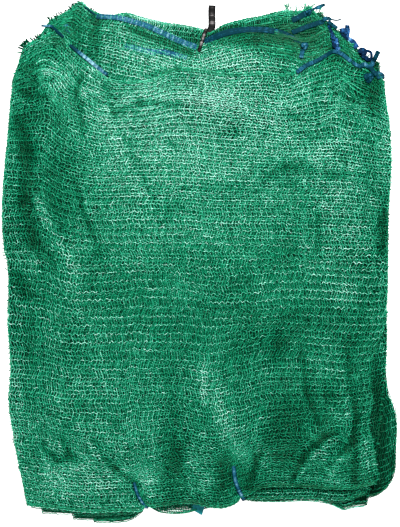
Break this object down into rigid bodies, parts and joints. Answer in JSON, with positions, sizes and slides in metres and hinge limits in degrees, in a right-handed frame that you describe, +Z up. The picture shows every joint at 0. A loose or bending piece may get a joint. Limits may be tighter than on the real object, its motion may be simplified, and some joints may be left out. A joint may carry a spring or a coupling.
{
  "type": "mesh sack bundle",
  "caption": "Flat tied bundle of empty green knitted mesh sacks with blue tape drawstrings in the mouths, blue ties at the lower edge and a black strap at the upper edge.",
  "frame": {"origin": "middle of the bundle's box, on the surface it lies on", "axes": "+Z up out of the surface, +Y towards the mouths, +X to the side with the knots"},
  "size_m": [0.4524, 0.5966, 0.0222],
  "materials": {
    "net": "knitted polyethylene net, slightly shiny",
    "tape": "ribbed polyethylene tape",
    "strap": "glossy black film strap",
    "tag": "thin teal film"
  },
  "bodies": {
    "root": {"sack_1": "net", "sack_2": "net", "sack_3": "net", "sack_4": "net", "sack_5": "net", "sack_6": "net", "sack_7": "net", "drawstring_1": "tape", "drawstring_2": "tape", "drawstring_3": "tape", "drawstring_4": "tape", "drawstring_5": "tape", "drawstring_6": "tape", "drawstring_7": "tape", "tie_left": "tape", "tie_right": "tape", "strap": "strap", "tag": "tag"}
  },
  "joints": []
}
